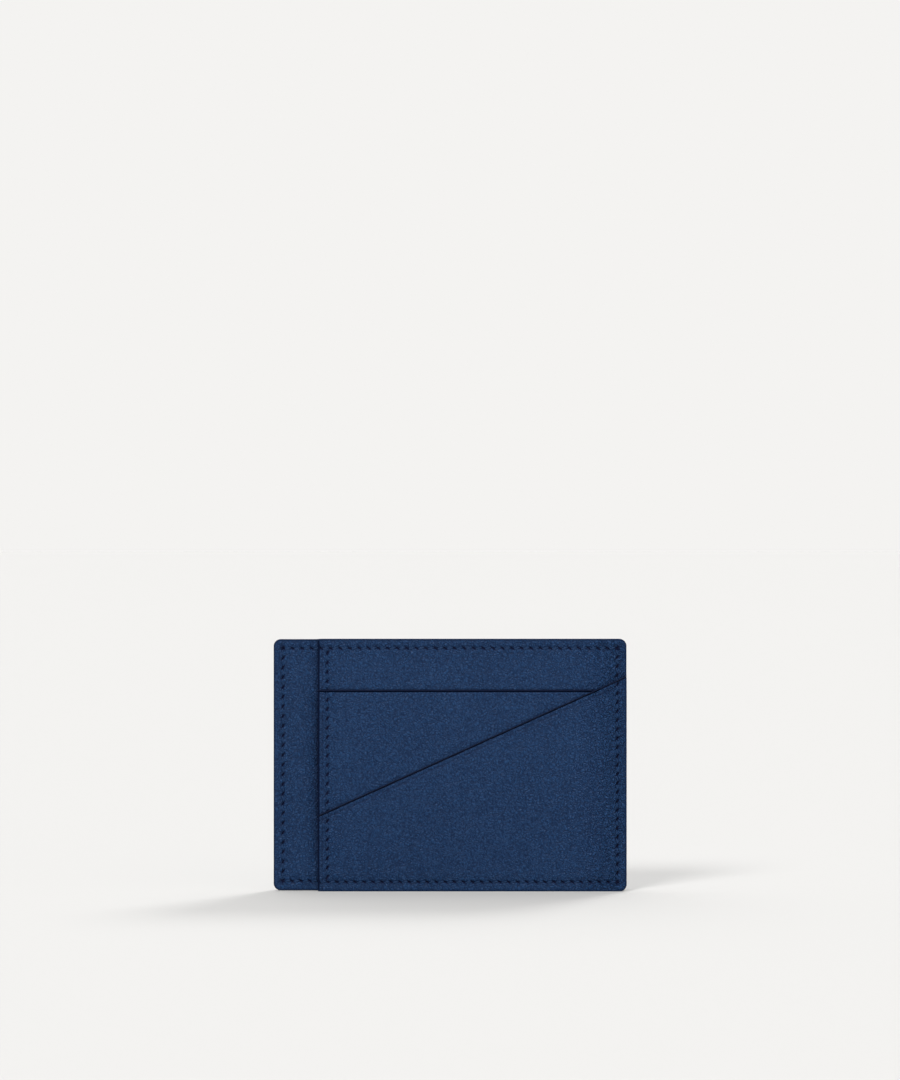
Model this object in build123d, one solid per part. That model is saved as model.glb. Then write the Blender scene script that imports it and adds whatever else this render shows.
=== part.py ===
from build123d import *
import math
import os

# A flat leather card holder with seven pockets, empty, standing upright on its bottom edge.
# Row frame, millimetres: X to the right seen from the front, Y from the front to the back, Z up.
# The origin is the middle of the bottom edge, and the front looks along -Y.
#
# Two leather base panels are laminated back to back on a thin stiffener. A block of panels lies on each:
#   front block: backing, straight pocket and diagonal pocket, open at its left edge as a side pocket
#   back block: bill pocket panel and three staggered card slots, open at its top edge as a bill pocket
# Each pocket is one more leather panel on a bond line along its closed sides. The blocks are topstitched
# at their mouths, and one seam round the outline goes through everything. All cut edges are painted.
#
# Everything is drawn flat, as (x, height), and built up in layers: depth is positive towards the front
# and 0 in the middle of the stiffener. place() stands the finished solids up in the row frame.

# ---- overall size ----
overall_width = 106.0
overall_height = 75.7
corner_radius = 2.1
edge_paint = 0.2          # thickness of the paint on every cut edge

# ---- an ID-1 card, which the pockets are sized for: it lies across the front pockets ----
card_height = 53.98

# ---- front block ----
strip_width = 13.4        # base panel left bare beside the side pocket's mouth
straight_mouth_drop = 15.8  # top edge down to the straight pocket's mouth
diagonal_left_rise = 22.4   # height of the slanting mouth at the block's left edge
diagonal_right_rise = 64.2  # and at the outline's right edge
straight_card_show = 9.5  # how far a card stands out of the straight pocket

# ---- back block ----
bill_mouth_drop = 9.8     # top edge down to the bill pocket's mouth
inner_slot_inset = 13.5   # outline to the innermost slot's mouth
slot_stagger = 9.15       # from one slot's mouth to the next
card_stagger = 4.2        # from one card's seated end to the next
outer_card_end = 3.05     # outline to the seated end of the card in the outer slot

# ---- materials' thicknesses ----
stiffener_thickness = 0.25
base_leather = 0.55
block_leather = 0.45      # backing and bill pocket panels
slot_leather = 0.4        # panels that another pocket covers
face_leather = 0.55       # outermost panel of each block
lining_thickness = 0.12
card_gap = 0.15           # an empty card pocket
wide_gap = 0.35           # the side and bill pockets, which stay a little open

# ---- seams ----
seam_inset = 2.8          # edge to stitch line
# Each row takes the nearest whole number of stitches to its pitch.
outline_pitches = [2.9, 2.7, 2.7, 2.93]   # along the top, right, bottom and left
side_pitch = 2.8          # along the side pocket's mouth
bill_pitch = 2.9          # along the bill pocket's mouth
slit_length = 1.2         # an awl's slanting slit
slit_width = 0.6
slit_angle = -25.0        # from the row's direction
corner_hole = 0.8         # a square hole where two rows meet
thread_width = 0.4
thread_thickness = 0.25
channel_width = 0.9       # sewn channel that the thread sinks into
channel_depth = 0.25
row_end_gap = 1.5         # a topstitched row stops this far from the seam round the outline

# ---- bond lines ----
bond_width = 2.2          # outline to the end of the glue, which stays outside the stitch line
stop_bond = 3.0           # width of the bond that stops the card in the straight pocket

# ---- places worked out from the sizes above ----
half_width = overall_width / 2
far = 2 * overall_width   # beyond the outline in any direction
side_mouth = -half_width + strip_width
straight_mouth = overall_height - straight_mouth_drop
bill_mouth = overall_height - bill_mouth_drop
slot_mouths = [-half_width + inner_slot_inset + k * slot_stagger for k in range(3)]
slot_stops = [half_width - outer_card_end - (2 - k) * card_stagger for k in range(3)]
straight_stop = straight_mouth + straight_card_show - card_height
seam_left, seam_right = -half_width + seam_inset, half_width - seam_inset
seam_bottom, seam_top = seam_inset, overall_height - seam_inset

# ---- the two sides, and the depths of their layers, counted outwards from the middle of the stiffener ----
FRONT, BACK = 1, -1
base_in = stiffener_thickness / 2
base_out = base_in + base_leather
lining_in = base_out + wide_gap
block_in = lining_in + lining_thickness
block_out = block_in + block_leather
straight_in = block_out + card_gap
straight_out = straight_in + slot_leather
diagonal_in = straight_out + card_gap
diagonal_out = diagonal_in + face_leather
slot_ins, slot_outs = [], []
for leather in (slot_leather, slot_leather, face_leather):
    slot_ins.append((slot_outs[-1] if slot_outs else block_out) + card_gap)
    slot_outs.append(slot_ins[-1] + leather)
lock = 0.0                # where the front and back threads of the outline seam meet
block_lock = block_in + block_leather / 3   # and those of a block's topstitching
middle_depth = (diagonal_out - slot_outs[-1]) / 2

# ---- flat outlines ----


def span(left=-far, right=far, bottom=-far, top=far):
    """A rectangle between two sides and two heights, which are far away unless given."""
    middle = Location(((left + right) / 2, (bottom + top) / 2, 0))
    return middle * Rectangle(right - left, top - bottom)


def slant(x):
    """Height of the diagonal mouth at x."""
    slope = (diagonal_right_rise - diagonal_left_rise) / (half_width - side_mouth)
    return diagonal_left_rise + (x - side_mouth) * slope


def under_slant(left, drop=0.0):
    """All that lies right of left and under the slanting mouth, cut back by drop square to it."""
    fall = drop / math.cos(math.atan(slant(1) - slant(0)))
    corners = [(left, -far), (far, -far), (far, slant(far) - fall), (left, slant(left) - fall)]
    return Polygon(*corners, align=None)


upright = Location((0, overall_height / 2, 0))
painted_outline = upright * RectangleRounded(overall_width, overall_height, corner_radius)
leather_outline = upright * RectangleRounded(
    overall_width - 2 * edge_paint, overall_height - 2 * edge_paint, corner_radius - edge_paint
)
paint_ring = painted_outline - leather_outline

# ---- seams: rows of slits, and the thread between them ----


def row(start, end, pitch):
    """Stitch holes at even steps from start to end, both included."""
    start, end = Vector(*start), Vector(*end)
    count = max(1, round((end - start).length / pitch))
    return [start + (end - start) * (k / count) for k in range(count + 1)]


seam_corners = [
    (seam_left, seam_top), (seam_right, seam_top), (seam_right, seam_bottom), (seam_left, seam_bottom)
]
outline_rows = [
    row(seam_corners[k], seam_corners[(k + 1) % 4], pitch) for k, pitch in enumerate(outline_pitches)
]
side_x = side_mouth + seam_inset
side_row = row((side_x, seam_bottom + row_end_gap), (side_x, seam_top - row_end_gap), side_pitch)
bill_z = bill_mouth - seam_inset
bill_row = row((seam_left + row_end_gap, bill_z), (seam_right - row_end_gap, bill_z), bill_pitch)


def heading(points):
    """Direction of a row, in degrees."""
    along = points[-1] - points[0]
    return math.degrees(math.atan2(along.Y, along.X))


def slits(points):
    """The slanting slits at a row's holes."""
    turn = heading(points) + slit_angle
    return [Location((p.X, p.Y, 0), turn) * Rectangle(slit_length, slit_width) for p in points]


outline_slits = [s for points in outline_rows for s in slits(points[1:-1])]
outline_slits += [Location((*corner, 0)) * Rectangle(corner_hole, corner_hole) for corner in seam_corners]
side_slits, bill_slits = slits(side_row), slits(bill_row)


def band(points):
    """The channel along a row, seen flat."""
    middle = (points[0] + points[-1]) / 2
    length = (points[-1] - points[0]).length + channel_width
    return Location((middle.X, middle.Y, 0), heading(points)) * Rectangle(length, channel_width)


outline_channel = Sketch() + [band(points) for points in outline_rows]
side_channel, bill_channel = band(side_row), band(bill_row)

# ---- solids from flat outlines ----


def place(solids):
    """Stands flat-drawn solids up in the row frame, with the thickness centred on the origin."""
    stand = Plane.XZ.location * Location((0, 0, -middle_depth))
    return Compound([stand * s for shape in solids for s in shape.solids()])


def layer(flat, inner, outer, side):
    """A flat outline built up between two depths, on the front (side 1) or the back (side -1)."""
    low = min(side * inner, side * outer)
    return extrude(Location((0, 0, low)) * flat, amount=outer - inner, dir=(0, 0, 1))


def pierced(flat, holes):
    """A flat outline with those of the slits that reach into it."""
    box = flat.bounding_box()
    reach = slit_length
    inside = [
        h for h in holes
        if box.min.X - reach < h.center().X < box.max.X + reach
        and box.min.Y - reach < h.center().Y < box.max.Y + reach
    ]
    return flat - inside if inside else flat


def panel(region, inner, outer, side, holes, channel=None, covered=None):
    """A leather panel: the region inside the outline, slit for its seams, sunk where the channel shows."""
    sheet = layer(pierced(leather_outline & region, holes), inner, outer, side)
    if channel is None:
        return sheet
    shown = channel & region
    if covered is not None:
        shown = shown - covered
    return sheet - layer(shown, outer - channel_depth, outer, side)


def thread(points, runs, meet, side, last_leg=True):
    """One row of thread as a single piece: a run at depth runs[k] from hole k to the next, and a leg in each
    hole that reaches in to depth meet. Without its last leg it ends against the row that starts there."""
    half = thread_width / 2
    holes = [(p - points[0]).length for p in points]
    flat = []
    for start, end, face in zip(holes, holes[1:], runs):
        stop = end + half if last_leg or end < holes[-1] else end - half
        flat.append(span(start - half, stop, face - thread_thickness, face))
    for k, hole in enumerate(holes if last_leg else holes[:-1]):
        flat.append(span(hole - half, hole + half, meet, max(runs[max(k - 1, 0):k + 1])))
    along = (points[-1] - points[0]).normalized()
    plane = Plane(
        origin=(points[0].X, points[0].Y, 0), x_dir=(along.X, along.Y, 0),
        z_dir=(along.Y * side, -along.X * side, 0),
    )
    return extrude(plane * (Sketch() + flat), amount=half, both=True)


def runs_over(points, face_at):
    """Depth of each run of a row: one that crosses a step lies at the higher of its two ends."""
    faces = [face_at(p.X, p.Y) for p in points]
    return [max(pair) for pair in zip(faces, faces[1:])]


def front_face(x, z):
    """Depth of the front surface at a point."""
    if x < side_mouth:
        return base_out
    if z < slant(x):
        return diagonal_out
    return straight_out if z < straight_mouth else block_out


def back_face(x, z):
    """Depth of the back surface at a point."""
    if z > bill_mouth:
        return base_out
    depths = [out for mouth, out in zip(slot_mouths, slot_outs) if x > mouth]
    return depths[-1] if depths else block_out


# ---- core: two base panels on a stiffener ----
everywhere = span()
front_block = span(left=side_mouth)
back_block = span(top=bill_mouth)

nodes = {}
nodes["core_stiffener"] = [layer(pierced(leather_outline, outline_slits), -base_in, base_in, FRONT)]
nodes["front_base_panel"] = [
    panel(everywhere, base_in, base_out, FRONT, outline_slits, outline_channel, front_block)
]
nodes["back_base_panel"] = [
    panel(everywhere, base_in, base_out, BACK, outline_slits, outline_channel, back_block)
]

# ---- front block, cut back by the paint on its left edge and on each mouth ----
front_slits = outline_slits + side_slits
front_channels = outline_channel + side_channel
block_left = side_mouth + edge_paint
backing_cut = span(left=block_left)
straight_cut = span(left=block_left, top=straight_mouth - edge_paint)
diagonal_cut = under_slant(block_left, edge_paint)
straight_region = span(left=side_mouth, top=straight_mouth)
diagonal_region = under_slant(side_mouth)
clear_left, clear_right = side_mouth + bond_width, half_width - bond_width
pocket_floor = bond_width

side_pocket_space = span(right=clear_right, bottom=bond_width, top=overall_height - bond_width)
straight_pocket_space = span(clear_left, clear_right, straight_stop) + span(
    clear_left, clear_right, pocket_floor, straight_stop - stop_bond
)
diagonal_pocket_space = span(clear_left, clear_right, pocket_floor)


def bond(cut, space, inner, outer, side, holes):
    """The bond line of a pocket: what its panel covers, less the space for what it holds."""
    return layer(pierced((leather_outline & cut) - space, holes), inner, outer, side)


nodes["side_pocket_bond"] = [
    bond(backing_cut, side_pocket_space, base_out, lining_in, FRONT, outline_slits)
]
nodes["side_pocket_lining"] = [panel(backing_cut, lining_in, block_in, FRONT, front_slits)]
nodes["front_backing_panel"] = [
    panel(backing_cut, block_in, block_out, FRONT, front_slits, front_channels,
          straight_region + diagonal_region)
]
nodes["straight_pocket_bond"] = [
    bond(straight_cut, straight_pocket_space, block_out, straight_in, FRONT, front_slits)
]
nodes["straight_pocket_panel"] = [
    panel(straight_cut, straight_in, straight_out, FRONT, front_slits, front_channels, diagonal_region)
]
nodes["diagonal_pocket_bond"] = [
    bond(diagonal_cut, diagonal_pocket_space, straight_out, diagonal_in, FRONT, front_slits)
]
nodes["diagonal_pocket_panel"] = [
    panel(diagonal_cut, diagonal_in, diagonal_out, FRONT, front_slits, front_channels)
]

# ---- back block: the bill pocket panel, then three slots that cards slide into from the side ----
back_slits = outline_slits + bill_slits
back_channels = outline_channel + bill_channel
block_top = bill_mouth - edge_paint
bill_cut = span(top=block_top)
bill_pocket_space = span(left=-clear_right, right=clear_right, bottom=pocket_floor)
slot_names = ["inner", "middle", "outer"]
slot_regions = [span(left=mouth, top=bill_mouth) for mouth in slot_mouths]

nodes["bill_pocket_bond"] = [
    bond(bill_cut, bill_pocket_space, base_out, lining_in, BACK, outline_slits)
]
nodes["bill_pocket_lining"] = [panel(bill_cut, lining_in, block_in, BACK, back_slits)]
nodes["bill_pocket_panel"] = [
    panel(bill_cut, block_in, block_out, BACK, back_slits, back_channels, slot_regions[0])
]
for k, name in enumerate(slot_names):
    under = slot_outs[k - 1] if k else block_out
    slot_cut = span(left=slot_mouths[k] + edge_paint, top=block_top)
    slot_space = span(right=slot_stops[k], bottom=pocket_floor, top=bill_mouth - bond_width)
    covered = slot_regions[k + 1] if k + 1 < len(slot_regions) else None
    nodes[name + "_slot_bond"] = [bond(slot_cut, slot_space, under, slot_ins[k], BACK, back_slits)]
    nodes[name + "_slot_panel"] = [
        panel(slot_cut, slot_ins[k], slot_outs[k], BACK, back_slits, back_channels, covered)
    ]

# ---- edge paint ----
# Each entry is a region with the depths that its painted edge covers, bond line included.
front_edges = [
    (everywhere, 0.0, base_out),
    (front_block, base_out, block_out),
    (straight_region, block_out, straight_out),
    (diagonal_region, straight_out, diagonal_out),
]
back_edges = [(everywhere, 0.0, base_out), (back_block, base_out, block_out)]
for k, region in enumerate(slot_regions):
    back_edges.append((region, slot_outs[k - 1] if k else block_out, slot_outs[k]))


def fused(layers):
    """One solid from layers that lie on each other."""
    whole = layers[0]
    for added in layers[1:]:
        whole = whole + added
    return whole


def mouth_paint(strip, edges, side, holes, channels):
    """Paint on a block's mouth, as deep as each edge that the strip crosses, with the seams let into it."""
    made = []
    for k, (region, inner, outer) in enumerate(edges):
        above = [later for later, _, _ in edges[k + 1:]]
        covered = Sketch() + above if above else None
        made.append(panel(strip & region, inner, outer, side, holes, channels, covered))
    return fused(made)


nodes["perimeter_edge_paint"] = [fused(
    [layer(paint_ring & region, inner, outer, FRONT) for region, inner, outer in front_edges]
    + [layer(paint_ring & region, inner, outer, BACK) for region, inner, outer in back_edges]
)]
side_strip = span(left=side_mouth, right=block_left)
side_edges = [(front_block, lining_in, block_out)] + front_edges[2:]
nodes["side_mouth_edge_paint"] = [mouth_paint(side_strip, side_edges, FRONT, front_slits, front_channels)]
straight_strip = span(block_left, far, straight_mouth - edge_paint, straight_mouth)
nodes["straight_mouth_edge_paint"] = [
    panel(straight_strip, straight_in, straight_out, FRONT, front_slits, front_channels, diagonal_region)
]
diagonal_strip = under_slant(block_left) - diagonal_cut
nodes["diagonal_mouth_edge_paint"] = [
    panel(diagonal_strip, diagonal_in, diagonal_out, FRONT, front_slits, front_channels)
]
bill_strip = span(bottom=block_top, top=bill_mouth)
bill_edges = [(back_block, lining_in, block_out)] + back_edges[2:]
nodes["bill_mouth_edge_paint"] = [mouth_paint(bill_strip, bill_edges, BACK, back_slits, back_channels)]
for k, name in enumerate(slot_names):
    slot_strip = span(slot_mouths[k], slot_mouths[k] + edge_paint, top=block_top)
    nodes[name + "_slot_edge_paint"] = [
        panel(slot_strip, slot_ins[k], slot_outs[k], BACK, back_slits, back_channels)
    ]

# ---- thread: each seam has one on the outside and one on the inside, which lock between the layers ----
nodes["perimeter_front_thread"] = [
    thread(points, runs_over(points, front_face), lock, FRONT, last_leg=False) for points in outline_rows
]
nodes["perimeter_back_thread"] = [
    thread(points, runs_over(points, back_face), lock, BACK, last_leg=False) for points in outline_rows
]


def topstitching(points, face_at, side):
    """The two threads of a block's mouth. The inner one runs on the lining, and its legs reach outwards."""
    inner_runs = [thread_thickness - lining_in] * (len(points) - 1)
    outer_thread = thread(points, runs_over(points, face_at), block_lock, side)
    return [outer_thread], [thread(points, inner_runs, -block_lock, -side)]


nodes["side_mouth_front_thread"], nodes["side_mouth_inner_thread"] = topstitching(side_row, front_face, FRONT)
nodes["bill_mouth_back_thread"], nodes["bill_mouth_inner_thread"] = topstitching(bill_row, back_face, BACK)

os.makedirs("parts", exist_ok=True)
for name, solids in nodes.items():
    export_step(place(solids), f"parts/{name}.step", write_pcurves=False)
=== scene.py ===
import math

import bpy
import numpy as np
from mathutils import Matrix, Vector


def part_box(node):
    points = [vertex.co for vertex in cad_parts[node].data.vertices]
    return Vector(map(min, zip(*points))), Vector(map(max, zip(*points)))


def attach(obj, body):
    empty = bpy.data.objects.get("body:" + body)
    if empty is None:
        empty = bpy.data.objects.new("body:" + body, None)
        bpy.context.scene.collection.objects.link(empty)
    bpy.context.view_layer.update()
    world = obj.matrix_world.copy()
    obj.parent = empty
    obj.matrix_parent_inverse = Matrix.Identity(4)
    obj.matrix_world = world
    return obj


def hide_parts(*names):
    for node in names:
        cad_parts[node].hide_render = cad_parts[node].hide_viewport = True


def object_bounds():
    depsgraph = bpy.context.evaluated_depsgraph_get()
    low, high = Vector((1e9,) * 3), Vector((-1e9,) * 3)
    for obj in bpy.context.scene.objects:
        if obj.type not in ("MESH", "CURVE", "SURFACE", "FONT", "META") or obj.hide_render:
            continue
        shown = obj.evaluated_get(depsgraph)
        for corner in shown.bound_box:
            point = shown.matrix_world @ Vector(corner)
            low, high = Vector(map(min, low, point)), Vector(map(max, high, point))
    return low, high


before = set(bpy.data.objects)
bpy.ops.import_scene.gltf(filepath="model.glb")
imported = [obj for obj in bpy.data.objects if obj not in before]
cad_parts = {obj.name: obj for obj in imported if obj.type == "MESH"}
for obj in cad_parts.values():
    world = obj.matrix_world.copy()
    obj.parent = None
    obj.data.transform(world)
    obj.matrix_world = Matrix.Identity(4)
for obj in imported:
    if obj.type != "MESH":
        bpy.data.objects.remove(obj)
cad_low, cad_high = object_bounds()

# ---- Navy leather ----
# Calfskin coloured in a dye drum, with a fine natural grain: small pebbles between shallow creases, softly
# polished on top, with a slow change of tone over each panel. Its needle slits, its creases, its edges beside
# a lapping mouth and its dips towards an open pocket are darker: painted shade, and on the creases also the
# creaser's burnish.
MM = 0.001


class Shade:
    """A socket in a material's nodes. Python's operators on it add Math nodes."""

    def __init__(self, tree, socket=None):
        self.tree, self.socket = tree, socket

    def node(self, kind, settings=None, inputs=None, output=0):
        """Adds a node: its settings come first, then the values or links of its sockets."""
        made = self.tree.nodes.new("ShaderNode" + kind)
        for name, value in (settings or {}).items():
            setattr(made, name, value)
        for name, value in (inputs or {}).items():
            if isinstance(value, Shade):
                self.tree.links.new(value.socket, made.inputs[name])
            else:
                made.inputs[name].default_value = value
        return Shade(self.tree, made.outputs[output])

    def into(self, name):
        """Links this value to a socket of the surface's Principled shader."""
        self.tree.links.new(self.socket, self.tree.nodes["Principled BSDF"].inputs[name])

    def math(self, operation, *values):
        return self.node("Math", {"operation": operation}, dict(enumerate(values)))

    def __add__(self, other):
        return self.math("ADD", self, other)

    def __sub__(self, other):
        return self.math("SUBTRACT", self, other)

    def __rsub__(self, other):
        return self.math("SUBTRACT", other, self)

    def __mul__(self, other):
        return self.math("MULTIPLY", self, other)

    def smooth(self, low, high):
        """0 below low, 1 above high, with a smooth change between."""
        return self.node("MapRange", {"interpolation_type": "SMOOTHSTEP"},
                         {"Value": self, "From Min": low, "From Max": high})

    def blend(self, color_at_0, color_at_1):
        """The colour that this value picks between two others."""
        return self.node("Mix", {"data_type": "RGBA"}, {0: self, 6: color_at_0, 7: color_at_1}, 2)


def new_material(name, roughness, specular):
    """A material with a Principled shader, and a Shade to build its nodes from."""
    material = bpy.data.materials.new(name)
    material.use_nodes = True
    surface = material.node_tree.nodes["Principled BSDF"]
    surface.inputs["Roughness"].default_value = roughness
    surface.inputs["Specular IOR Level"].default_value = specular
    return material, Shade(material.node_tree)


def millimetres(shade):
    """The place on the object, in millimetres."""
    place = shade.node("TexCoord", output="Object")
    return shade.node("VectorMath", {"operation": "SCALE"}, {0: place, "Scale": 1 / MM})


leather_dark = (0.0020, 0.0175, 0.0640, 1)
leather_light = (0.0165, 0.0600, 0.1660, 1)
# The colour of painted shade, which the creases' burnish shares.
leather_shade_and_crease = (0.0001, 0.0024, 0.0260, 1)
leather, shade = new_material("navy_leather", 0.5, 0.2)
place = millimetres(shade)
wander = shade.node("TexNoise", None, {"Vector": place, "Scale": 0.5, "Detail": 2.0}, "Color")
sway = shade.node("VectorMath", {"operation": "SCALE"}, {0: wander, "Scale": 2.0})
drawn = shade.node("VectorMath", {"operation": "ADD"}, {0: place, 1: sway})
# How loose the skin is: coarser grain, and a painted lift in the tone.
slack_and_painted_lift = shade.node("Attribute", {"attribute_name": "slack_and_painted_lift"}, output="Fac")


def wrinkles(vector, scale, width):
    """Shallow creases that wander between raised grain: 0 in a crease, 1 on the grain."""
    wave = shade.node("TexNoise", None, {"Vector": vector, "Scale": scale, "Detail": 1.0, "Roughness": 0.4})
    return shade.math("ABSOLUTE", wave - 0.5).smooth(0.0, width)


pebbles_per_mm = 1.45
pebble = shade.node("TexVoronoi", {"feature": "DISTANCE_TO_EDGE"},
                    {"Vector": drawn, "Scale": pebbles_per_mm})
caps = shade.node("TexVoronoi", {"feature": "SMOOTH_F1"},
                  {"Vector": drawn, "Scale": pebbles_per_mm, "Smoothness": 0.3})
knobs = shade.node("TexNoise", None, {"Vector": drawn, "Scale": 1.9, "Detail": 1.5, "Roughness": 0.5})
grain = (wrinkles(drawn, 1.3, 0.12) * 0.25 + pebble.smooth(0.0, 0.25) * 0.2
         + knobs.smooth(0.35, 0.65) * 0.2 + (0.55 - caps).smooth(0.0, 0.45) * 0.35)
relief = grain * (slack_and_painted_lift * 1.5 + 0.6)
cloud = shade.node("TexNoise", None, {"Vector": place, "Scale": 0.06, "Detail": 3.0})
# Painted shade in needle slits, beside lapping mouths and in dips towards open pockets, with the creases'
# real burnish.
shade_and_crease_mask = shade.node("Attribute", {"attribute_name": "shade_and_crease_mask"}, output="Fac")
# Where the skin lies looser the tone is lighter: painted light that offsets the shade of its deeper bump.
tone = ((grain - 0.5) * (slack_and_painted_lift * 0.5 + 1.0) + cloud * 0.2 + slack_and_painted_lift * 0.14).smooth(-0.4, 0.6)
# Lighter on raised grain and darker in its creases: partly the dye, partly painted light and shade of the
# grain.
dye_and_painted_grain_light = tone.blend(leather_dark, leather_light)
shade_and_crease_mask.blend(dye_and_painted_grain_light, leather_shade_and_crease).into("Base Color")
(0.55 - grain * 0.2 + shade_and_crease_mask * 0.3).into("Roughness")
shade.node("Bump", None, {"Strength": 1.0, "Distance": 0.32 * MM, "Height": relief}).into("Normal")

# ---- Front and back base panels ----
# Two panels of leather laminated back to back on a thin board, which carry everything else. The front one
# shows as a bare strip beside the side pocket, and the back one as a band above the bill pocket.
FRONT, BACK = -1, 1
corner_radius = 2.1 * MM
outline_pitches = [2.9 * MM, 2.7 * MM, 2.7 * MM, 2.93 * MM]  # top, right, bottom, left
side_pitch = 2.8 * MM
bill_pitch = 2.9 * MM


def side_reach(node, side):
    """Depths of a node's inner and outer faces on that side, counted outwards."""
    low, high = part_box(node)
    return (-high.y, -low.y) if side == FRONT else (low.y, high.y)


def holes(start, end, pitch):
    """Needle holes at even steps along a row, as (x, height, the row's heading)."""
    run = math.dist(start, end)
    count = max(1, round(run / pitch))
    heading = math.atan2(end[1] - start[1], end[0] - start[0])
    steps = [k / count for k in range(count + 1)]
    return [(start[0] + (end[0] - start[0]) * s, start[1] + (end[1] - start[1]) * s, heading) for s in steps]


outline_low, outline_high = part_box("perimeter_edge_paint")
thread_low, thread_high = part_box("perimeter_front_thread")
half_thread = (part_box("side_mouth_front_thread")[1].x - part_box("side_mouth_front_thread")[0].x) / 2
seam_left, seam_right = thread_low.x + half_thread, thread_high.x - half_thread
seam_bottom, seam_top = thread_low.z + half_thread, thread_high.z - half_thread
seam_corners = [
    (seam_left, seam_top), (seam_right, seam_top), (seam_right, seam_bottom), (seam_left, seam_bottom)
]
outline_rows = [
    holes(seam_corners[k], seam_corners[(k + 1) % 4], pitch) for k, pitch in enumerate(outline_pitches)
]
side_low, side_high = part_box("side_mouth_front_thread")
side_row = holes((side_low.x + half_thread, side_low.z + half_thread),
                 (side_low.x + half_thread, side_high.z - half_thread), side_pitch)
bill_low, bill_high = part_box("bill_mouth_back_thread")
bill_row = holes((bill_low.x + half_thread, bill_low.z + half_thread),
                 (bill_high.x - half_thread, bill_low.z + half_thread), bill_pitch)

side_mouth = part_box("side_mouth_edge_paint")[0].x
straight_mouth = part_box("straight_mouth_edge_paint")[1].z
bill_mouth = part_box("bill_mouth_edge_paint")[1].z
slot_names = ["inner", "middle", "outer"]
slot_mouths = [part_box(name + "_slot_edge_paint")[0].x for name in slot_names]
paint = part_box("straight_mouth_edge_paint")[1].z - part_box("straight_mouth_edge_paint")[0].z
slant_low, slant_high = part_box("diagonal_mouth_edge_paint")
slant_run = slant_high.x - slant_low.x
slant_rise = slant_high.z - slant_low.z
slant_slope = (slant_rise - paint * math.hypot(1, slant_rise / slant_run)) / slant_run
slant_angle = math.atan(slant_slope)


def slant(x):
    """Height of the diagonal mouth at x."""
    return slant_high.z + (x - slant_high.x) * slant_slope


def arch(t):
    """0 at both ends of a span, 1 in its middle."""
    return np.sin(np.pi * np.clip(t, 0, 1)) ** 0.7


side_pocket_gape = 0.30 * MM
front_puff = 0.16 * MM
bill_pocket_gape = 0.85 * MM
back_puff = 0.18 * MM
mouth_margin = 0.5 * MM  # so that the paint on a mouth moves with its panel


def front_swell(x, z):
    """How far the front block stands off its base: most at the side pocket's open mouth."""
    across = np.clip((seam_right - x) / (seam_right - side_mouth), 0, 1)
    up = arch((z - seam_bottom) / (seam_top - seam_bottom))
    block = x > side_mouth - mouth_margin
    return block * up * (side_pocket_gape * across ** 2 + front_puff * arch(across))


def back_swell(x, z):
    """How far the back block stands off its base: most in the middle of the bill pocket's mouth."""
    across = arch((x - seam_left) / (seam_right - seam_left))
    up = np.clip((z - seam_bottom) / (bill_mouth - seam_bottom), 0, 1)
    block = z < bill_mouth + mouth_margin
    return block * across * (bill_pocket_gape * up ** 2.5 + back_puff * arch(up))


def flat(x, z):
    """The base panels lie on their board."""
    return 0 * x


def near(distance, width):
    """1 on a line, falling to 0 beyond its width."""
    return np.exp(-(distance / width) ** 2)


def outline_seam_distance(x, z):
    """Distance from the seam round the outline."""
    middle_x, middle_z = (seam_left + seam_right) / 2, (seam_bottom + seam_top) / 2
    out_x = np.abs(x - middle_x) - (seam_right - middle_x)
    out_z = np.abs(z - middle_z) - (seam_top - middle_z)
    outside = np.hypot(np.maximum(out_x, 0), np.maximum(out_z, 0))
    return np.abs(outside + np.minimum(np.maximum(out_x, out_z), 0))


slit_angle = math.radians(-25)
slit_half_length = 0.8 * MM
slit_half_width = 0.29 * MM
slit_window = 1.2 * MM


def pierce(x, z, rows):
    """1 in each needle slit of these rows, 0 outside."""
    pressed_in = np.zeros(len(x))
    for hole_x, hole_z, heading in [hole for row in rows for hole in row]:
        close = np.nonzero((np.abs(x - hole_x) < slit_window) & (np.abs(z - hole_z) < slit_window))[0]
        turn = heading + slit_angle
        dx, dz = x[close] - hole_x, z[close] - hole_z
        along = (dx * math.cos(turn) + dz * math.sin(turn)) / slit_half_length
        across = (dz * math.cos(turn) - dx * math.sin(turn)) / slit_half_width
        pressed_in[close] = np.maximum(pressed_in[close], np.exp(-along ** 4 - across ** 4))
    return pressed_in


def lay_sheet(name, left, right, bottom, top, side, cell):
    """A flat sheet of leather or lining, before it is cut to shape."""
    bpy.ops.object.select_all(action="DESELECT")
    width, height = right - left, top - bottom
    bpy.ops.mesh.primitive_grid_add(
        x_subdivisions=max(1, round(width / cell)), y_subdivisions=max(1, round(height / cell)), size=1,
        location=((left + right) / 2, 0, (bottom + top) / 2), rotation=(-side * math.pi / 2, 0, 0),
    )
    sheet = bpy.context.object
    sheet.name = name
    sheet.scale = (width, height, 1)
    bpy.ops.object.transform_apply(location=True, rotation=True, scale=True)
    return sheet


def places(piece):
    """A piece's points, as rows of x, y and z."""
    points = np.empty(len(piece.data.vertices) * 3)
    piece.data.vertices.foreach_get("co", points)
    return points.reshape(-1, 3)


def move_to(piece, points):
    piece.data.vertices.foreach_set("co", points.ravel())
    piece.data.update()


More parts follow.
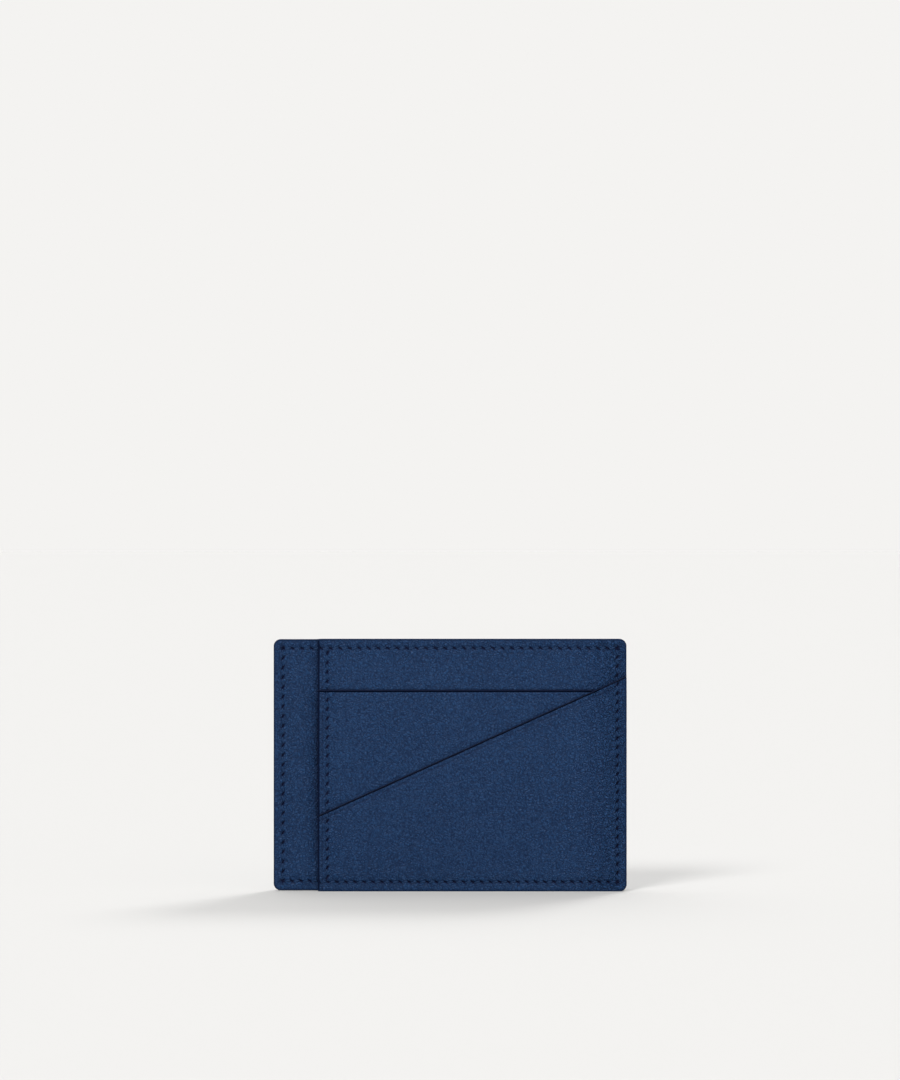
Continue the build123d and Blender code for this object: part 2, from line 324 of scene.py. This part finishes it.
def round_corners(piece):
    """Draws a sheet's square corners in, to run beside the outline's rounded ones."""
    points = places(piece)
    middle_x = (outline_low.x + outline_high.x) / 2
    middle_z = (outline_low.z + outline_high.z) / 2
    reach_x = outline_high.x - middle_x - corner_radius
    reach_z = outline_high.z - middle_z - corner_radius
    over_x = np.abs(points[:, 0] - middle_x) - reach_x
    over_z = np.abs(points[:, 2] - middle_z) - reach_z
    inside = (over_x > 0) & (over_z > 0)
    square = np.maximum(over_x, over_z)[inside]
    keep = square / np.hypot(over_x, over_z)[inside]
    points[inside, 0] = middle_x + np.sign(points[inside, 0] - middle_x) * (reach_x + over_x[inside] * keep)
    points[inside, 2] = middle_z + np.sign(points[inside, 2] - middle_z) * (reach_z + over_z[inside] * keep)
    move_to(piece, points)


def cut_away(piece, point, outward):
    """Cuts a piece along a plane and takes away what lies outward of it."""
    bpy.context.view_layer.objects.active = piece
    bpy.ops.object.mode_set(mode="EDIT")
    bpy.ops.mesh.select_all(action="SELECT")
    bpy.ops.mesh.bisect(plane_co=point, plane_no=outward, clear_outer=True)
    bpy.ops.object.mode_set(mode="OBJECT")


def refine(piece, wanted):
    """Divides the faces whose middles are wanted into thirds, for stitches and creases."""
    bpy.ops.object.mode_set(mode="EDIT")
    bpy.ops.mesh.select_mode(type="FACE")
    bpy.ops.mesh.select_all(action="DESELECT")
    bpy.ops.object.mode_set(mode="OBJECT")
    centres = np.empty(len(piece.data.polygons) * 3)
    piece.data.polygons.foreach_get("center", centres)
    centres = centres.reshape(-1, 3)
    piece.data.polygons.foreach_set("select", wanted(centres[:, 0], centres[:, 2]))
    bpy.ops.object.mode_set(mode="EDIT")
    bpy.ops.mesh.subdivide(number_cuts=2)
    bpy.ops.object.mode_set(mode="OBJECT")


def thicken(piece, inner, outer, side, round_off):
    """Gives a flat piece its thickness between two depths, and rounds its rim."""
    points = places(piece)
    points[:, 1] = side * outer
    move_to(piece, points)
    bpy.ops.object.modifier_add(type="SOLIDIFY")
    solid = piece.modifiers[-1]
    solid.thickness = outer - inner
    solid.offset = -1
    bpy.ops.object.modifier_apply(modifier=solid.name)
    bpy.ops.object.modifier_add(type="BEVEL")
    rounded = piece.modifiers[-1]
    rounded.width = round_off
    rounded.segments = 2
    rounded.limit_method = "ANGLE"
    rounded.angle_limit = math.radians(60)
    bpy.ops.object.modifier_apply(modifier=rounded.name)


trim_step = 0.12 * MM
trim_blend = 0.25 * MM


def settled(points):
    """The stack is thinner at the bare strip, where its trimmed outline lies a little further in."""
    x, z = points[:, 0], points[:, 2]
    share = 1 / (1 + np.exp((x - side_mouth) / trim_blend))
    height = (z - outline_low.z) / (outline_high.z - outline_low.z)
    points[:, 2] = z + share * trim_step * ((1 - height) ** 8 - height ** 8)
    return points


least_leather = 0.08 * MM  # what is left under the deepest slit


def press_and_swell(piece, side, inner, outer, swell, press):
    """Moves a thick piece as its pocket stands, and presses its outer face in."""
    points = places(piece)
    x, z = points[:, 0], points[:, 2]
    depth = side * points[:, 1]
    outer_share = np.clip((depth - inner) / (outer - inner), 0, 1)
    sunk, shade_and_crease_amount, skin_slack_and_lift = press(x, z)
    sunk = np.minimum(sunk, outer - inner - least_leather)
    points[:, 1] = side * (depth + swell(x, z) - sunk * outer_share)
    move_to(piece, settled(points))
    # Stores the painted shade with the creases' burnish, and how loose the skin is, with its painted lift.
    for mask, values in (("shade_and_crease_mask", shade_and_crease_amount * outer_share), ("slack_and_painted_lift", skin_slack_and_lift)):
        spread = piece.data.attributes.new(mask, "FLOAT", "POINT")
        spread.data.foreach_set("value", np.clip(values, 0, 1))


channel_depth = 0.12 * MM
channel_width = 0.45 * MM
hollow_depth = 0.1 * MM
hollow_width = 1.2 * MM


def seam_sink(distance):
    """How far the thread pulls the leather in: a narrow channel along the seam, in a wider hollow."""
    return channel_depth * near(distance, channel_width) + hollow_depth * np.exp(-distance / hollow_width)


def finish_piece(piece, material, body_slot, *nodes):
    """Dresses a finished piece, and lets it stand for its nodes."""
    piece.data.materials.clear()
    piece.data.materials.append(material)
    bpy.ops.object.select_all(action="DESELECT")
    piece.select_set(True)
    bpy.context.view_layer.objects.active = piece
    bpy.ops.object.shade_smooth_by_angle(angle=math.radians(40))
    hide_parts(*nodes)
    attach(piece, "root")


def row_distance(row):
    """Distance from the straight line through a row, within its length."""
    (start_x, start_z, heading), (end_x, end_z, _) = row[0], row[-1]
    length = math.dist((start_x, start_z), (end_x, end_z))

    def distance(x, z):
        dx, dz = x - start_x, z - start_z
        along = dx * math.cos(heading) + dz * math.sin(heading)
        across = dz * math.cos(heading) - dx * math.sin(heading)
        return np.hypot(across, np.maximum(np.maximum(-along, along - length), 0))

    return distance


sheet_cell = 0.7 * MM
leather_round = 0.1 * MM
refined_reach = 0.75 * MM
seam_slack_width = 2.6 * MM
end_slack_width = 8 * MM
slit_depth = 0.3 * MM
slit_painted_shade = {FRONT: 1.7, BACK: 0.85}
crease_depth = 0.11 * MM
crease_width = 0.25 * MM
crease_burnish_and_shade = 0.3
lap_depth = 0.05 * MM
lap_width = 0.32 * MM
lap_margin = 0.6 * MM
lap_painted_shade = {FRONT: 0.75, BACK: 0.45}
dip_depth = 0.3 * MM
dip_width = 2.4 * MM
dip_margin = 2 * MM
dip_painted_shade = {FRONT: 0.3, BACK: 0.55}


def panel(node, side, swell, rows, creases, laps=(), dips=(), cuts=()):
    """A leather panel: laid out, cut, thickened, sunk in and given painted shade by its stitch rows and
    creases, and swelled. Where a mouth laps onto it, which its laps measure from, it is sunk a little and
    given painted shade. It dips towards an open pocket, most where the pocket is widest, with painted shade
    there: each of its dips is a lap and a share of the depth."""
    low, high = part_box(node)
    inner, outer = side_reach(node, side)
    piece = lay_sheet(node + "_leather", low.x, high.x, low.z, high.z, side, sheet_cell)
    round_corners(piece)
    for point, outward in cuts:
        cut_away(piece, point, outward)
    seams = [outline_seam_distance] + [row_distance(row) for row in rows]
    lapped = [lambda x, z, lap=lap: np.abs(lap(x, z)) for lap in laps]

    def wanted(x, z):
        return np.min([line(x, z) for line in seams + creases + lapped], axis=0) < refined_reach

    def press(x, z):
        seam = np.min([line(x, z) for line in seams], axis=0)
        slits = pierce(x, z, outline_rows + rows)
        sunk = seam_sink(seam) + slit_depth * slits
        # Painted shade in the needle slits.
        shade_and_crease_amount = slits * slit_painted_shade[side]
        # Looser skin along the seams and towards the right end, which also carries painted light.
        skin_slack_and_lift = 0.25 * near(seam, seam_slack_width) + 0.9 * near(seam_right - x, end_slack_width)
        # The creased lines are darker: the creaser's burnish, and painted shade in the groove.
        for crease in creases:
            pressed_line = near(crease(x, z), crease_width)
            sunk = sunk + crease_depth * pressed_line
            shade_and_crease_amount = shade_and_crease_amount + crease_burnish_and_shade * pressed_line
        # Painted shade on the leather beside a mouth that laps onto it, where the gap under the mouth lies.
        for lap in laps:
            over = lap(x, z)
            shaded = np.exp(-np.maximum(over, 0) / lap_width) * (over > -lap_margin)
            shade_and_crease_amount = shade_and_crease_amount + lap_painted_shade[side] * shaded
            sunk = sunk + lap_depth * shaded
        # Painted shade where the panel dips towards an open pocket, deepest where the pocket gapes most.
        for lap, middle in dips:
            over = lap(x, z)
            dip = np.exp(-(np.maximum(over, 0) / dip_width) ** 1.5) * (over > -dip_margin) * middle(x, z)
            sunk = sunk + dip_depth * dip
            shade_and_crease_amount = shade_and_crease_amount + dip_painted_shade[side] * dip ** 2
            skin_slack_and_lift = skin_slack_and_lift + dip
        return sunk, shade_and_crease_amount, skin_slack_and_lift

    refine(piece, wanted)
    thicken(piece, inner, outer, side, leather_round)
    press_and_swell(piece, side, inner, outer, swell, press)
    finish_piece(piece, leather, "leather", node)


def beside(mouth):
    """How far a point lies beside an upright mouth, on the side that shows."""
    return lambda x, z: mouth - x


def above(mouth):
    """How far a point lies above a level mouth."""
    return lambda x, z: z - mouth


def above_slant(x, z):
    """How far a point lies above the diagonal mouth, square to it."""
    return (z - slant(x)) * math.cos(slant_angle)


def up_the_side_mouth(x, z):
    """0 at the ends of the side pocket's mouth, 1 in its middle."""
    return arch((z - outline_low.z) / (outline_high.z - outline_low.z))


def along_the_bill_mouth(x, z):
    """0 at the ends of the bill pocket's mouth, 1 in its middle."""
    return np.sin(np.pi * np.clip((x - outline_low.x) / (outline_high.x - outline_low.x), 0, 1) ** 1.2) ** 1.5


panel("front_base_panel", FRONT, flat, [], [], laps=[beside(side_mouth)],
      dips=[(beside(side_mouth), up_the_side_mouth)])
panel("back_base_panel", BACK, flat, [], [], laps=[above(bill_mouth)],
      dips=[(above(bill_mouth), along_the_bill_mouth)])

# ---- Side pocket: its lining and the front backing panel ----
# A panel that covers the front but for the bare strip, sewn on three sides and open at the left, with a
# thin cloth lining glued inside it. It is topstitched along its mouth, with a crease beside the cut edge.
lining, shade = new_material("navy_lining", 0.85, 0.2)
place = millimetres(shade)
weave = shade.node("TexWave", {"bands_direction": "X"}, {"Vector": place, "Scale": 2.4, "Distortion": 0.3})
weft = shade.node("TexWave", {"bands_direction": "Z"}, {"Vector": place, "Scale": 2.4, "Distortion": 0.3})
cloth = (weave + weft) * 0.5
cloth.blend((0.006, 0.010, 0.024, 1), (0.014, 0.022, 0.050, 1)).into("Base Color")
shade.node("Bump", None, {"Strength": 0.4, "Distance": 0.05 * MM, "Height": cloth}).into("Normal")

lining_cell = 2 * MM
lining_round = 0.02 * MM


def unpressed(x, z):
    """A lining is not sunk in, and has neither painted shade nor looser skin with painted lift."""
    return 0 * x, 0 * x, 0 * x


def cloth_lining(node, side, swell):
    """The lining glued inside a pocket's outer panel."""
    low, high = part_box(node)
    inner, outer = side_reach(node, side)
    piece = lay_sheet(node + "_cloth", low.x, high.x, low.z, high.z, side, lining_cell)
    round_corners(piece)
    thicken(piece, inner, outer, side, lining_round)
    press_and_swell(piece, side, inner, outer, swell, unpressed)
    finish_piece(piece, lining, "lining", node)


crease_inset = 1.3 * MM


def upright_crease(mouth):
    """Distance from the line creased beside an upright mouth."""
    return lambda x, z: np.abs(x - mouth - crease_inset)


side_crease = upright_crease(side_mouth)
cloth_lining("side_pocket_lining", FRONT, front_swell)
panel("front_backing_panel", FRONT, front_swell, [side_row], [side_crease],
      laps=[above(straight_mouth), above_slant])

# ---- Straight pocket ----
# The second panel of the front block, cut straight across the top. A line of glue across it, far inside,
# stops a card so that its top stands out.
panel("straight_pocket_panel", FRONT, front_swell, [side_row], [side_crease], laps=[above_slant])

# ---- Diagonal pocket ----
# The outermost front panel. Its top is cut on a slant from low at the left to high at the right, creased
# along the cut edge.
slant_up = (-math.sin(slant_angle), 0, math.cos(slant_angle))
backing_reach = side_reach("front_backing_panel", FRONT)
straight_reach = side_reach("straight_pocket_panel", FRONT)
diagonal_reach = side_reach("diagonal_pocket_panel", FRONT)
right_end_drop = 0.45 * (straight_reach[1] - backing_reach[1])
drop_run = 2.5 * MM


def diagonal_swell(x, z):
    """How far the diagonal panel stands off. Its right end, past the straight pocket, is drawn in."""
    past = np.clip((z - straight_mouth) / drop_run, 0, 1)
    return front_swell(x, z) - right_end_drop * past ** 2 * (3 - 2 * past)


def slant_crease(x, z):
    """Distance from the line creased along the diagonal mouth."""
    return np.abs(above_slant(x, z) + crease_inset)


slant_point = (slant_high.x + paint * math.sin(slant_angle), 0, slant_high.z - paint * math.cos(slant_angle))
panel("diagonal_pocket_panel", FRONT, diagonal_swell, [side_row], [side_crease, slant_crease],
      cuts=[(slant_point, slant_up)])

# ---- Bill pocket: its lining and panel ----
# A panel as wide as the holder, open at the top, where it stands off the base a little. It is topstitched
# under its mouth through everything on it, creased above the stitches, and lined like the side pocket.


def bill_crease(x, z):
    """Distance from the line creased under the bill pocket's mouth."""
    return np.abs(bill_mouth - crease_inset - z)


cloth_lining("bill_pocket_lining", BACK, back_swell)
panel("bill_pocket_panel", BACK, back_swell, [bill_row], [bill_crease], laps=[beside(slot_mouths[0])])

# ---- Three card slots ----
# Three panels, each shorter than the one under it, sewn in at the top, the bottom and one side. Cards
# slide in from the other side, where each panel's cut edge is creased.
for k, name in enumerate(slot_names):
    panel(name + "_slot_panel", BACK, back_swell, [bill_row],
          [bill_crease, upright_crease(slot_mouths[k])],
          laps=[beside(mouth) for mouth in slot_mouths[k + 1:k + 2]])

# ---- Edge paint on the mouths ----
# Several coats of deep navy paint, sanded between, which leave a smooth rounded bead along each cut edge.
# It is darker than the outline's paint: painted shade of the narrow gap at each mouth.


def paint_coats(name, thin, thick):
    """Edge paint, whose colour varies between where its coats are thin and where they are thick."""
    material, shade = new_material(name, 0.5, 0.1)
    coats = shade.node("TexNoise", None, {"Vector": millimetres(shade), "Scale": 1.6, "Detail": 2.0})
    coats.blend(thin, thick).into("Base Color")
    (coats * 0.2 + 0.4).into("Roughness")
    shade.node("Bump", None, {"Strength": 0.3, "Distance": 0.08 * MM, "Height": coats}).into("Normal")
    return material


# Darker than the outline's paint: painted shade of the gap at each mouth, over the paint's own colour.
mouth_paint_and_gap_shade = paint_coats("mouth_edge_paint", (0.0016, 0.0085, 0.0360, 1), (0.0005, 0.0036, 0.0190, 1))
outline_coats = paint_coats("outline_edge_paint", (0.0060, 0.0240, 0.0740, 1), (0.0025, 0.0110, 0.0400, 1))

bead_sides = 12
bead_step = 0.8 * MM
bead_over = 0.06 * MM
bead_width = {FRONT: 3 * paint, BACK: 2.6 * paint}


def bead(start, end, inner, outer, side, swell):
    """A rounded bead of paint along a cut edge from start to end, which are (x, height). It lies right of an
    upright line, and above a level or slanting one."""
    bpy.ops.object.select_all(action="DESELECT")
    length = math.dist(start, end)
    heading = math.atan2(end[1] - start[1], end[0] - start[0])
    bpy.ops.mesh.primitive_cylinder_add(
        vertices=bead_sides, radius=0.5, depth=length, end_fill_type="TRIFAN", rotation=(0, math.pi / 2, 0)
    )
    made = bpy.context.object
    bpy.ops.object.transform_apply(location=True, rotation=True, scale=True)
    bpy.ops.object.mode_set(mode="EDIT")
    bpy.ops.mesh.select_all(action="DESELECT")
    bpy.ops.object.mode_set(mode="OBJECT")
    points = places(made)
    for edge in made.data.edges:
        edge.select = abs(points[edge.vertices[0]][0] - points[edge.vertices[1]][0]) > length / 2
    bpy.ops.object.mode_set(mode="EDIT")
    bpy.ops.mesh.select_mode(type="EDGE")
    bpy.ops.mesh.subdivide(number_cuts=max(1, round(length / bead_step)))
    bpy.ops.object.mode_set(mode="OBJECT")
    points = places(made)
    along, thick = points[:, 0] + length / 2, points[:, 1]
    rise = (points[:, 2] - 0.5) * bead_width[side]
    x = start[0] + along * math.cos(heading) + rise * math.sin(heading)
    z = start[1] + along * math.sin(heading) + rise * math.cos(heading)
    depth = (inner + outer) / 2 + thick * (outer - inner + bead_over)
    points = np.stack([x, side * (depth + swell(x, z)), z], axis=1)
    move_to(made, settled(points))
    return made


def joined(name, parts):
    """One piece from several."""
    bpy.ops.object.select_all(action="DESELECT")
    for part in parts:
        part.select_set(True)
    bpy.context.view_layer.objects.active = parts[0]
    if len(parts) > 1:
        bpy.ops.object.join()
    parts[0].name = name
    return parts[0]


def right_way_out(piece):
    """Turns a closed piece's faces outwards."""
    bpy.ops.object.select_all(action="DESELECT")
    piece.select_set(True)
    bpy.context.view_layer.objects.active = piece
    bpy.ops.object.mode_set(mode="EDIT")
    bpy.ops.mesh.select_all(action="SELECT")
    bpy.ops.mesh.normals_make_consistent(inside=False)
    bpy.ops.object.mode_set(mode="OBJECT")


def painted_mouth(node, beads, side, swell):
    """The paint along one mouth: a bead for each layer whose edge it covers."""
    parts = [bead(start, end, inner, outer, side, swell) for start, end, inner, outer in beads]
    piece = joined(node + "_bead", parts)
    right_way_out(piece)
    finish_piece(piece, mouth_paint_and_gap_shade, "edge_paint", node)


block_top, block_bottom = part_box("front_backing_panel")[1].z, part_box("front_backing_panel")[0].z
panel_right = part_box("front_backing_panel")[1].x
panel_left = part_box("bill_pocket_panel")[0].x
lining_in = side_reach("side_pocket_lining", FRONT)[0]
painted_mouth("side_mouth_edge_paint", [
    ((side_mouth, block_top), (side_mouth, block_bottom), lining_in, backing_reach[1]),
    ((side_mouth, straight_mouth), (side_mouth, block_bottom), *straight_reach),
    ((side_mouth, slant(side_mouth)), (side_mouth, block_bottom), *diagonal_reach),
], FRONT, front_swell)
painted_mouth("straight_mouth_edge_paint", [
    ((panel_right, straight_mouth), (side_mouth, straight_mouth), *straight_reach),
], FRONT, front_swell)
painted_mouth("diagonal_mouth_edge_paint", [
    ((panel_right, slant(panel_right)), (side_mouth, slant(side_mouth)), *diagonal_reach),
], FRONT, diagonal_swell)
bill_reach = side_reach("bill_pocket_panel", BACK)
slot_reaches = [side_reach(name + "_slot_panel", BACK) for name in slot_names]
bill_lining_in = side_reach("bill_pocket_lining", BACK)[0]
painted_mouth("bill_mouth_edge_paint", [
    ((panel_right, bill_mouth), (panel_left, bill_mouth), bill_lining_in, bill_reach[1])
] + [
    ((panel_right, bill_mouth), (mouth, bill_mouth), *reach)
    for mouth, reach in zip(slot_mouths, slot_reaches)
], BACK, back_swell)
for name, mouth, reach in zip(slot_names, slot_mouths, slot_reaches):
    painted_mouth(name + "_slot_edge_paint", [
        ((mouth, bill_mouth), (mouth, block_bottom), *reach)
    ], BACK, back_swell)

# ---- Edge paint round the outline ----
# All the layers are trimmed flush together, then sanded and painted as one edge. A faint groove still
# shows between one layer of leather and the next.
rim_width = 3 * paint
rim_round = 0.16 * MM
rim_corner_steps = 8
rim_side_cuts = 100


def rim(inner, outer, side, swell, cuts=()):
    """The painted rim of one layer, cut off where the layer ends."""
    bpy.ops.object.select_all(action="DESELECT")
    width, height = outline_high.x - outline_low.x, outline_high.z - outline_low.z
    middle = ((outline_low.x + outline_high.x) / 2, 0, (outline_low.z + outline_high.z) / 2)
    bpy.ops.mesh.primitive_plane_add(size=1, location=middle, rotation=(-side * math.pi / 2, 0, 0))
    made = bpy.context.object
    made.scale = (width, height, 1)
    bpy.ops.object.transform_apply(location=True, rotation=True, scale=True)
    bpy.ops.object.mode_set(mode="EDIT")
    bpy.ops.mesh.select_all(action="SELECT")
    bpy.ops.mesh.bevel(offset=corner_radius, segments=rim_corner_steps, affect="VERTICES")
    bpy.ops.mesh.select_all(action="DESELECT")
    bpy.ops.object.mode_set(mode="OBJECT")
    points = places(made)
    for edge in made.data.edges:
        edge.select = math.dist(points[edge.vertices[0]], points[edge.vertices[1]]) > corner_radius
    bpy.ops.object.mode_set(mode="EDIT")
    bpy.ops.mesh.select_mode(type="EDGE")
    bpy.ops.mesh.subdivide(number_cuts=rim_side_cuts)
    bpy.ops.mesh.select_all(action="SELECT")
    bpy.ops.mesh.inset(thickness=rim_width)
    bpy.ops.mesh.delete(type="FACE")
    bpy.ops.object.mode_set(mode="OBJECT")
    for point, outward in cuts:
        cut_away(made, point, outward)
    thicken(made, inner, outer, side, rim_round)
    points = places(made)
    points[:, 1] += side * swell(points[:, 0], points[:, 2])
    move_to(made, settled(points))
    return made


right_of_side_mouth = ((side_mouth, 0, 0), (-1, 0, 0))
under_straight_mouth = ((0, 0, straight_mouth), (0, 0, 1))
under_slant = ((0, 0, slant(0)), slant_up)
under_bill_mouth = ((0, 0, bill_mouth), (0, 0, 1))
front_base_out = side_reach("front_base_panel", FRONT)[1]
back_base_out = side_reach("back_base_panel", BACK)[1]
rim_parts = [
    rim(0, front_base_out, FRONT, flat),
    rim(0, back_base_out, BACK, flat),
    rim(front_base_out, backing_reach[1], FRONT, front_swell, [right_of_side_mouth]),
    rim(backing_reach[1], straight_reach[1], FRONT, front_swell,
        [right_of_side_mouth, under_straight_mouth]),
    rim(straight_reach[1], diagonal_reach[1], FRONT, diagonal_swell, [right_of_side_mouth, under_slant]),
    rim(back_base_out, bill_reach[1], BACK, back_swell, [under_bill_mouth]),
]
under = bill_reach[1]
for mouth, reach in zip(slot_mouths, slot_reaches):
    right_of_slot_mouth = ((mouth, 0, 0), (-1, 0, 0))
    rim_parts.append(rim(under, reach[1], BACK, back_swell, [under_bill_mouth, right_of_slot_mouth]))
    under = reach[1]
outline_paint = joined("perimeter_edge_paint_rim", rim_parts)
finish_piece(outline_paint, outline_coats, "edge_paint", "perimeter_edge_paint")

# ---- Stitching ----
# Waxed two-ply polyester thread in the leather's own colour, lockstitched through slanting slits. Each
# stitch is drawn down into a slit at both ends and lies slightly askew in the sewn channel.
thread, shade = new_material("navy_thread", 0.55, 0.25)
place = millimetres(shade)
fibre = shade.node("TexNoise", None, {"Vector": place, "Scale": 5.0, "Detail": 2.0})
fibre.blend((0.0060, 0.0280, 0.0860, 1), (0.0160, 0.0540, 0.1480, 1)).into("Base Color")
shade.node("Bump", None, {"Strength": 0.5, "Distance": 0.06 * MM, "Height": fibre}).into("Normal")

thread_radius = 0.19 * MM
slit_reach = 0.6 * MM
stitch_dive = 0.5 * MM
stitch_taper = 0.45
thread_sink = 0.14 * MM
ply_flatness = 0.82
ply_twist = math.radians(32)
sides_of_thread = 8
stations = 7
bpy.ops.object.select_all(action="DESELECT")
bpy.ops.mesh.primitive_circle_add(vertices=sides_of_thread, radius=1, fill_type="TRIFAN",
                                  rotation=(0, math.pi / 2, 0))
pattern_stitch = bpy.context.object
bpy.ops.object.transform_apply(location=False, rotation=True, scale=False)
bpy.ops.object.mode_set(mode="EDIT")
bpy.ops.mesh.select_all(action="SELECT")
bpy.ops.transform.resize(value=(1, ply_flatness, 1))
for station in range(stations):
    bpy.ops.mesh.extrude_region_move(TRANSFORM_OT_translate={"value": (1, 0, 0)})
    bpy.ops.transform.rotate(value=ply_twist, orient_axis="X", center_override=(station + 1, 0, 0))
bpy.ops.mesh.select_all(action="SELECT")
bpy.ops.mesh.normals_make_consistent(inside=False)
bpy.ops.object.mode_set(mode="OBJECT")
pattern = places(pattern_stitch)
pattern[:, 0] = pattern[:, 0] / stations * 2 - 1


def stitch(start, end, depth_at, side, facing):
    """One stitch from slit to slit. It lies on the surface in its middle and dips into a slit at each end. It
    is facing out (1) or into its pocket (-1)."""
    made = bpy.data.objects.new("stitch", pattern_stitch.data.copy())
    bpy.context.collection.objects.link(made)
    start_x, start_z, heading = start
    end_x, end_z, _ = end
    turn = heading + slit_angle
    start_x, start_z = start_x + slit_reach * math.cos(turn), start_z + slit_reach * math.sin(turn)
    end_x, end_z = end_x - slit_reach * math.cos(turn), end_z - slit_reach * math.sin(turn)
    length = math.dist((start_x, start_z), (end_x, end_z)) + 2 * thread_radius
    lean = math.atan2(end_z - start_z, end_x - start_x)
    t = pattern[:, 0]
    taper = thread_radius * (1 - stitch_taper * t ** 4)
    along, across = t * length / 2, pattern[:, 1] * taper
    middle_x, middle_z = (start_x + end_x) / 2, (start_z + end_z) / 2
    x = middle_x + along * math.cos(lean) - across * math.sin(lean)
    z = middle_z + along * math.sin(lean) + across * math.cos(lean)
    lift = pattern[:, 2] * taper - stitch_dive * t ** 4
    surface = depth_at(middle_x + along * math.cos(lean), middle_z + along * math.sin(lean))
    points = np.stack([x, side * (surface + facing * lift), z], axis=1)
    move_to(made, settled(points))
    return made


def seam(name, rows, depth_at, side, facing, *nodes):
    """All the stitches that lie on one side of a seam, as one piece."""
    parts = [stitch(start, end, depth_at, side, facing) for row in rows for start, end in zip(row, row[1:])]
    piece = joined(name, parts)
    if facing < 0:
        right_way_out(piece)
    finish_piece(piece, thread, "thread", *nodes)


def front_surface(x, z):
    """Depth of the thread on the front."""
    block = np.where(z < straight_mouth, straight_reach[1], backing_reach[1]) + front_swell(x, z)
    block = np.where(z < slant(x), diagonal_reach[1] + diagonal_swell(x, z), block)
    return np.where(x < side_mouth, front_base_out, block) - thread_sink


def back_surface(x, z):
    """Depth of the thread on the back."""
    depth = np.full(len(x), bill_reach[1])
    for mouth, reach in zip(slot_mouths, slot_reaches):
        depth = np.where(x > mouth, reach[1], depth)
    return np.where(z > bill_mouth, back_base_out, depth) + back_swell(x, z) - thread_sink


seam("outline_stitches_front", outline_rows, front_surface, FRONT, 1, "perimeter_front_thread")
seam("outline_stitches_back", outline_rows, back_surface, BACK, 1, "perimeter_back_thread")
seam("side_mouth_stitches", [side_row], front_surface, FRONT, 1, "side_mouth_front_thread")
seam("bill_mouth_stitches", [bill_row], back_surface, BACK, 1, "bill_mouth_back_thread")
seam("side_mouth_inner_stitches", [side_row], lambda x, z: lining_in + front_swell(x, z), FRONT, -1,
     "side_mouth_inner_thread")
seam("bill_mouth_inner_stitches", [bill_row], lambda x, z: bill_lining_in + back_swell(x, z), BACK, -1,
     "bill_mouth_inner_thread")
bpy.data.objects.remove(pattern_stitch)

# ---- Inside the holder ----
# A thin board between the base panels keeps the holder flat. Dried glue along the closed sides of each
# pocket holds its layers together. Neither shows from outside.
board, shade = new_material("stiffener_board", 0.9, 0.2)
pulp = shade.node("TexNoise", None, {"Vector": millimetres(shade), "Scale": 2.0, "Detail": 4.0})
pulp.blend((0.20, 0.17, 0.13, 1), (0.30, 0.27, 0.22, 1)).into("Base Color")
glue, shade = new_material("dried_glue", 0.55, 0.3)
skin = shade.node("TexNoise", None, {"Vector": millimetres(shade), "Scale": 1.2, "Detail": 2.0})
skin.blend((0.012, 0.012, 0.016, 1), (0.030, 0.030, 0.036, 1)).into("Base Color")
(skin * 0.3 + 0.4).into("Roughness")
for node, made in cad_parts.items():
    if node == "core_stiffener" or node.endswith("_bond"):
        made.data.materials.clear()
        made.data.materials.append(board if node == "core_stiffener" else glue)

# ---- Floor, light and camera ----
# A matt floor under soft studio lights, before a background of the same off-white. The camera is held
# level and faces the front from a metre away.
floor_size = 60
floor_glow = 0.195
bpy.ops.object.select_all(action="DESELECT")
bpy.ops.mesh.primitive_plane_add(size=floor_size, location=(0, 0, 0))
floor = bpy.context.object
floor.name = "floor"
pale_floor, shade = new_material("pale_floor", 1.0, 0.0)
surface = pale_floor.node_tree.nodes["Principled BSDF"]
off_white = (0.905, 0.896, 0.880, 1)
surface.inputs["Base Color"].default_value = (0.43, 0.426, 0.418, 1)
surface.inputs["Emission Color"].default_value = off_white
surface.inputs["Emission Strength"].default_value = floor_glow
floor.data.materials.append(pale_floor)

world = bpy.data.worlds.new("studio")
bpy.context.scene.world = world
world.use_nodes = True
world.node_tree.nodes["Background"].inputs["Color"].default_value = off_white
world.node_tree.nodes["Background"].inputs["Strength"].default_value = 1.0
world.cycles_visibility.glossy = False
world.cycles_visibility.diffuse = False
floor.visible_glossy = False


def sun(name, azimuth, elevation, spread, strength):
    """A soft light from far away, seen from the front: azimuth 0 is behind the camera, 90 from the right."""
    light = bpy.data.lights.new(name, "SUN")
    light.energy, light.angle = strength, math.radians(spread)
    lamp = bpy.data.objects.new(name, light)
    bpy.context.collection.objects.link(lamp)
    lamp.rotation_euler = (math.radians(90 - elevation), 0, math.radians(azimuth))


sun("key", -30, 42, 20, 2.3)
sun("fill", 40, 15, 90, 0.95)
sun("sky", 180, 66, 80, 2.2)
sun("back_key", 150, 42, 20, 1.8)
sun("back_fill", 220, 15, 90, 0.7)

camera_distance = 1.0
camera_height = 0.1054
view_height = 0.3239
camera_data = bpy.data.cameras.new("camera")
camera_data.lens = camera_data.sensor_width * camera_distance / view_height
camera = bpy.data.objects.new("camera", camera_data)
bpy.context.collection.objects.link(camera)
camera.location = (0, cad_low.y - camera_distance, camera_height)
camera.rotation_euler = (math.pi / 2, 0, 0)
bpy.context.scene.camera = camera
bpy.context.scene.view_settings.view_transform = "Standard"
